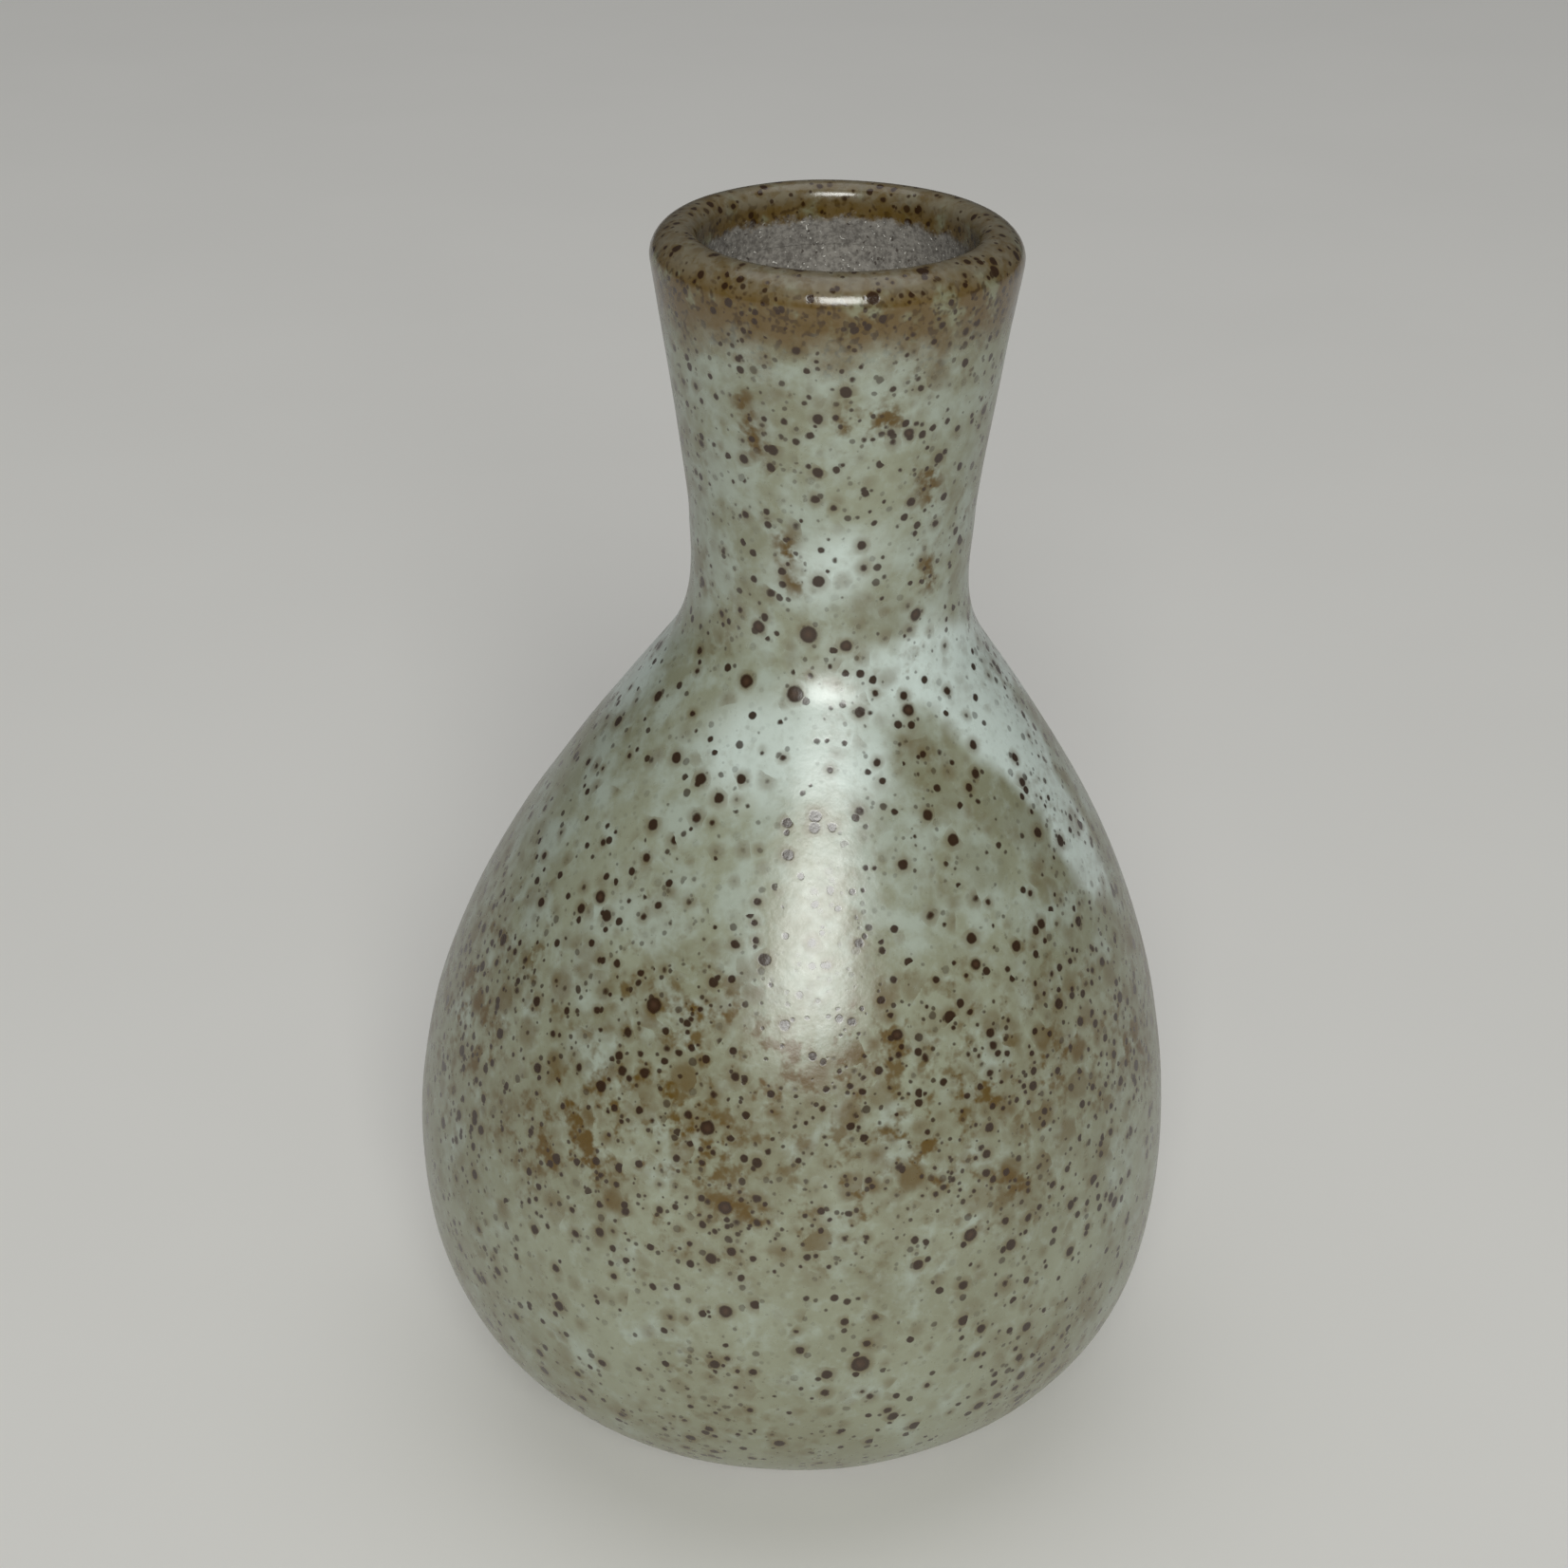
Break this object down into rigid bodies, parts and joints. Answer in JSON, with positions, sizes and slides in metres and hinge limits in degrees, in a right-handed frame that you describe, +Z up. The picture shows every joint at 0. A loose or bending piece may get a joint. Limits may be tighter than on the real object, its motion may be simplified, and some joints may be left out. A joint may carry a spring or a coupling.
{
  "type": "bud vase",
  "caption": "Small drop-shaped stoneware bud vase with a waisted neck, a thick rolled lip and speckled glaze, open at the top to hold water and a stem.",
  "frame": {"origin": "on the standing plane, under the centre of the belly's widest ring", "axes": "+Z up out of the mouth; +X towards the side that the hand-thrown neck leans to"},
  "size_m": [0.076, 0.076, 0.124],
  "materials": {
    "stoneware": "unglazed, fired, gritty grey clay with pale sparkling grains",
    "glaze": "satin grey-green celadon glaze with dark iron speckles and rust clouds, glossy brown where it breaks over the lip"
  },
  "bodies": {
    "root": {"clay_body": "stoneware", "glaze_coat": "glaze"}
  },
  "joints": []
}
